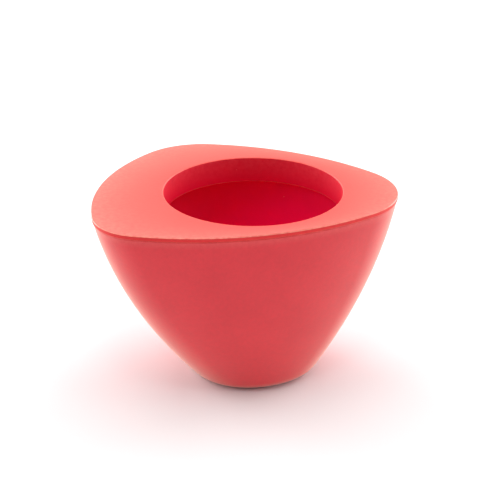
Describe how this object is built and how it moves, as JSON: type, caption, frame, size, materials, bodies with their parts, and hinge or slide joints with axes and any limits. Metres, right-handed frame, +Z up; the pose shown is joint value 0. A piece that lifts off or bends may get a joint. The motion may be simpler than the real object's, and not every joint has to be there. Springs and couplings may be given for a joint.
{
  "type": "bulb planter",
  "caption": "Tapered plant bowl with a rounded triangular rim and a flat lift-off lid, whose round collared opening takes a potted bulb.",
  "frame": {"origin": "centre of the round foot on the ground, on the common axis of the foot and the lid's opening", "axes": "+Z up along that axis, +X towards the right corner of the rim, -Y towards the long front side"},
  "size_m": [0.1682, 0.1404, 0.109],
  "materials": {
    "bowl_plastic": "matte, finely mottled moulded surface",
    "lid_plastic": "matte, finely mottled moulded surface"
  },
  "bodies": {
    "bowl": {"bowl": "bowl_plastic"},
    "lid": {"lid": "lid_plastic"}
  },
  "joints": [
    {"name": "lid_lift", "type": "slide", "parent": "bowl", "child": "lid", "axis": [0, 0, 1], "range_m": [0, 0.06]}
  ]
}
